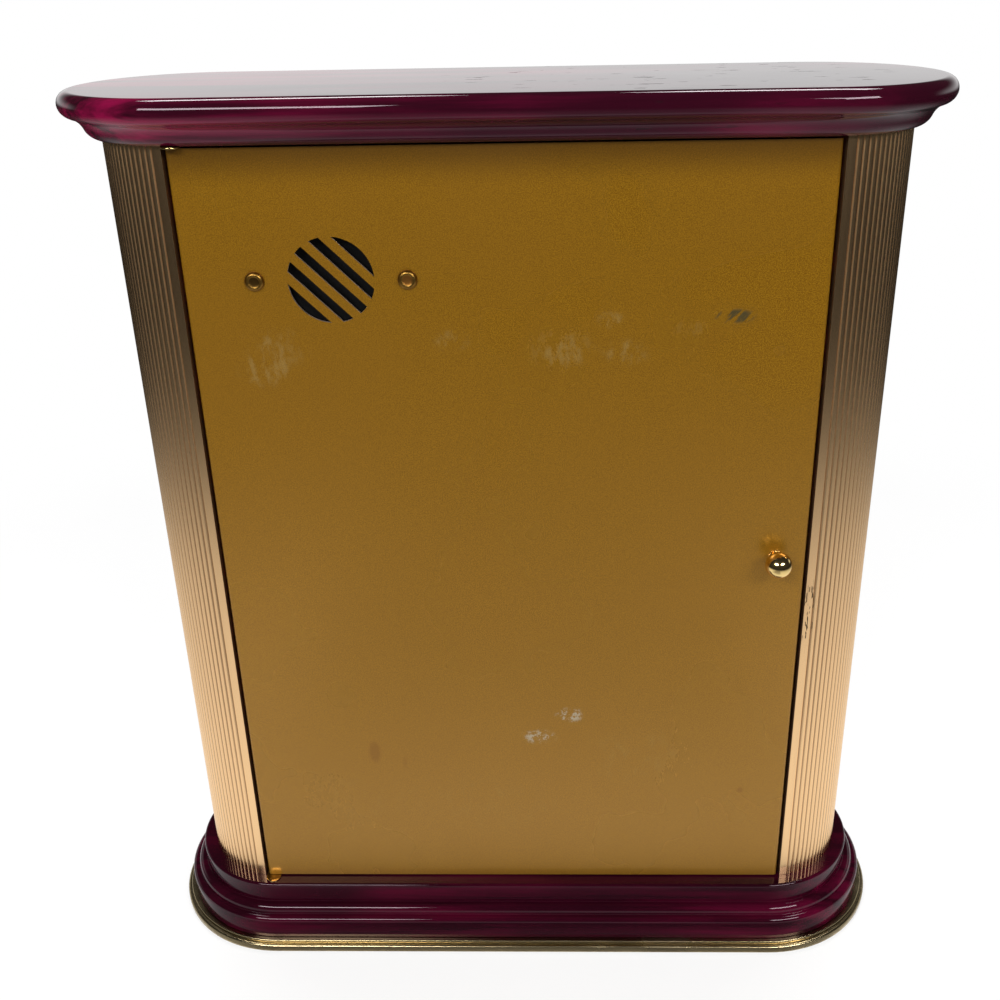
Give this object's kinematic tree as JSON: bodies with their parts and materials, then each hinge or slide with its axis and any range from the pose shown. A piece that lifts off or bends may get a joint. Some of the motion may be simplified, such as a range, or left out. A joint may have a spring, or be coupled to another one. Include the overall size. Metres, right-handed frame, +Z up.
{
  "type": "mantel clock",
  "caption": "Oval mantel clock with lacquered base and top, reeded ends, a hinged back door with speaker grille, a quartz chime movement and a pendulum.",
  "frame": {"origin": "centre of the footprint, on the surface that the clock stands on", "axes": "+X to the right as the dial is read, +Y to the back door, +Z up"},
  "size_m": [0.2706, 0.0874, 0.3047],
  "materials": {
    "felt": "short green felt",
    "plate_brass": "polished, dulled by handling",
    "steel": "zinc plated",
    "burgundy_wood": "high-gloss burgundy lacquer",
    "reeded_aluminium": "bronze-gold anodised, reeded",
    "dark_red_wood": "dark red lacquer",
    "frame_gold": "gold anodised",
    "glass": "clear float glass",
    "board": "dark brown veneer",
    "dial_ivory": "satin ivory",
    "polished_brass": "polished and lacquered",
    "rivet_brass": "polished, tarnished brown",
    "door_gold": "gold metallic paint with fine fleck",
    "brown_plastic": "moulded",
    "ferrite": "bare ferrite",
    "black_steel": "black paint",
    "cone_paper": "black pulp",
    "black_plastic": "moulded, fine texture",
    "grey_plastic": "moulded, fine texture",
    "white_plastic": "moulded acetal",
    "red_plastic": "moulded",
    "circuit_green": "solder mask",
    "copper": "enamelled copper winding",
    "cell_jacket": "printed jacket without print",
    "hand_black": "black lacquer"
  },
  "bodies": {
    "case": {"felt_pads": "felt", "base_plate": "plate_brass", "plate_screws": "steel", "base_moulding": "burgundy_wood", "top_board": "burgundy_wood", "upright_screws": "steel", "tie_rods": "steel", "tie_rod_nuts": "steel", "column_right": "reeded_aluminium", "column_left": "reeded_aluminium", "upright_right": "dark_red_wood", "upright_left": "dark_red_wood", "front_frame": "frame_gold", "front_glass": "glass", "dial_board": "board", "dial_plate": "dial_ivory", "dial_ring": "polished_brass", "hour_markers": "polished_brass", "chamber_back": "board", "lower_pivot_lug": "polished_brass", "upper_pivot_lug": "polished_brass", "door_pivot_pins": "steel", "door_catch": "brown_plastic", "catch_magnet": "ferrite", "movement_case": "black_plastic", "movement_cover": "grey_plastic", "cover_screws": "steel", "fixing_washer": "polished_brass", "fixing_nut": "polished_brass", "circuit_board": "circuit_green", "drive_coil": "copper", "batteries": "cell_jacket", "battery_springs": "steel", "battery_plate": "steel", "pendulum_drive_case": "black_plastic", "pendulum_pivot": "steel"},
    "back_door": {"back_door": "door_gold", "door_knob": "polished_brass", "knob_screw": "steel", "speaker_frame": "black_steel", "speaker_magnet": "ferrite", "speaker_cone": "cone_paper", "speaker_rivets": "rivet_brass"},
    "minute_train": {"minute_hand": "hand_black", "minute_tube": "polished_brass", "center_wheel": "white_plastic"},
    "hour_train": {"hour_hand": "hand_black", "hour_tube": "polished_brass", "hour_wheel": "white_plastic"},
    "motion_train": {"motion_wheel": "white_plastic", "set_knob": "grey_plastic"},
    "second_train": {"second_hand": "hand_black", "second_shaft": "steel", "second_wheel": "white_plastic"},
    "pendulum": {"pendulum_hanger": "white_plastic", "pendulum_rod": "polished_brass", "pendulum_bob": "polished_brass", "rating_nut": "polished_brass"},
    "volume_switch": {"volume_slider": "red_plastic"},
    "chime_switch": {"chime_slider": "red_plastic"}
  },
  "joints": [
    {"name": "door_hinge", "type": "hinge", "parent": "case", "child": "back_door", "pos_m": [0.093, 0.0271, 0.158], "axis": [0, 0, -1], "range_deg": [0, 95]},
    {"name": "minute_turn", "type": "hinge", "parent": "case", "child": "minute_train", "pos_m": [0, -0.018, 0.2], "axis": [0, 1, 0], "continuous": true},
    {"name": "hour_turn", "type": "hinge", "parent": "case", "child": "hour_train", "pos_m": [0, -0.018, 0.2], "axis": [0, 1, 0], "continuous": true},
    {"name": "motion_turn", "type": "hinge", "parent": "case", "child": "motion_train", "pos_m": [-0.0151, 0, 0.2], "axis": [0, 1, 0], "continuous": true},
    {"name": "second_turn", "type": "hinge", "parent": "case", "child": "second_train", "pos_m": [0, -0.018, 0.2], "axis": [0, 1, 0], "continuous": true},
    {"name": "pendulum_swing", "type": "hinge", "parent": "case", "child": "pendulum", "pos_m": [0, -0.0007, 0.161], "axis": [0, 1, 0], "range_deg": [-7, 7]},
    {"name": "volume_slide", "type": "slide", "parent": "case", "child": "volume_switch", "axis": [1, 0, 0], "range_m": [0, 0.006]},
    {"name": "chime_slide", "type": "slide", "parent": "case", "child": "chime_switch", "axis": [1, 0, 0], "range_m": [0, 0.006]}
  ],
  "couplings": [
    {"joint": "hour_turn", "follows": "minute_turn", "ratio": 0.083333},
    {"joint": "motion_turn", "follows": "minute_turn", "ratio": -0.33333}
  ]
}
